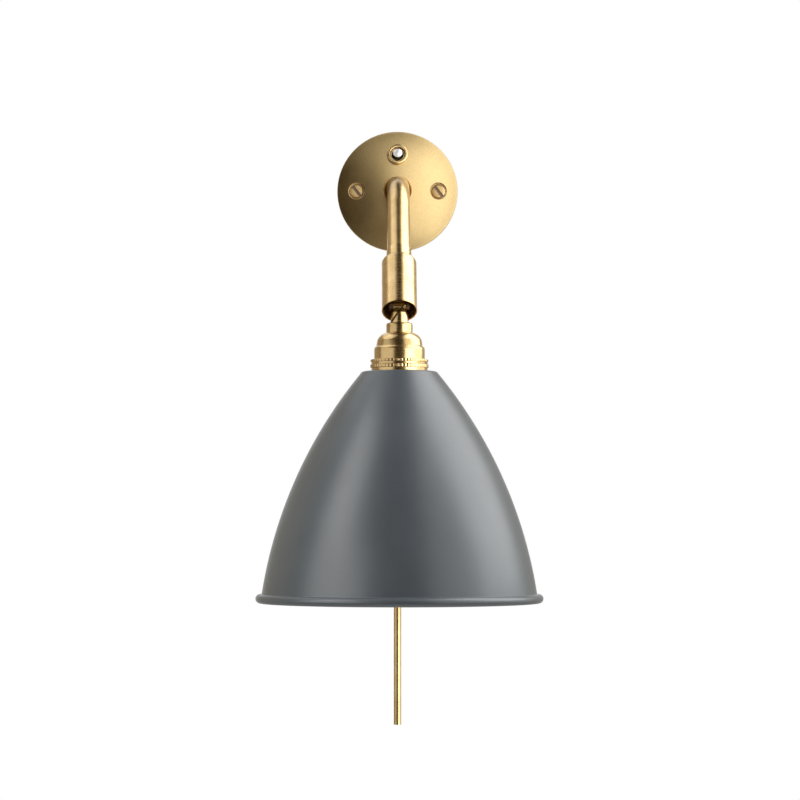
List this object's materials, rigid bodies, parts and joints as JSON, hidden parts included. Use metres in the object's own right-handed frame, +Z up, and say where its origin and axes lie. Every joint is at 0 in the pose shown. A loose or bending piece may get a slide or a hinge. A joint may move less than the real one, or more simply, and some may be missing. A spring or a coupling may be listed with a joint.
{
  "type": "wall light",
  "caption": "Wall light: a domed brass plate with a push switch carries a bent tube, an open knuckle joint and a hanging grey bell shade; a thin conduit runs down the wall.",
  "frame": {"origin": "centre of the wall plate's back face, on the wall", "axes": "+Z up, +Y into the wall, +X to the right of someone who faces the wall; the light stands out along -Y"},
  "size_m": [0.16, 0.1827, 0.3491],
  "materials": {
    "satin_brass": "bead-blasted satin brass",
    "polished_brass": "brushed and polished brass",
    "shade_lacquer": "satin lacquer outside, white inside",
    "chrome": "polished",
    "black_moulding": "moulded, matt",
    "porcelain": "unglazed white",
    "steel": "turned steel",
    "bulb_glass": "frosted",
    "bulb_metal": "rolled sheet"
  },
  "bodies": {
    "bracket": {"wall_plate": "satin_brass", "plate_screws": "polished_brass", "arm_bush": "polished_brass", "arm_lock_nut": "steel", "arm_tube": "polished_brass", "conduit_tube": "polished_brass", "switch_ring_nut": "polished_brass", "switch_barrel": "polished_brass", "switch_body": "black_moulding", "switch_tabs": "polished_brass", "terminal_block": "black_moulding", "terminal_screws": "steel", "earth_screw": "steel", "arm_collar": "polished_brass", "swivel_bolt": "steel", "friction_washer": "steel"},
    "swivel": {"joint_housing": "polished_brass", "pivot_fork": "polished_brass", "pivot_pin": "steel"},
    "shade_head": {"knuckle_stem": "polished_brass", "neck_ring": "polished_brass", "lampholder_cap": "polished_brass", "stem_nut": "steel", "holder_base": "porcelain", "holder_sleeve": "black_moulding", "screw_shell": "polished_brass", "centre_contact": "polished_brass", "holder_collar": "polished_brass", "shade_ring_upper": "polished_brass", "shade_ring_inner": "polished_brass", "bell_shade": "shade_lacquer", "bulb_cap": "bulb_metal", "bulb_glass": "bulb_glass"},
    "button": {"switch_button": "chrome"}
  },
  "joints": [
    {"name": "arm_swivel", "type": "hinge", "parent": "bracket", "child": "swivel", "pos_m": [0, -0.08849, -0.07402], "axis": [0, 0.5736, 0.8192], "range_deg": [-90, 90]},
    {"name": "shade_tilt", "type": "hinge", "parent": "swivel", "child": "shade_head", "pos_m": [0, -0.08849, -0.07402], "axis": [-1, 0, 0], "range_deg": [0, 70]},
    {"name": "button_press", "type": "slide", "parent": "bracket", "child": "button", "axis": [0, 0.9771, -0.2126], "range_m": [0, 0.0018], "stiffness_N_per_m": 500, "springref_m": -0.001}
  ]
}
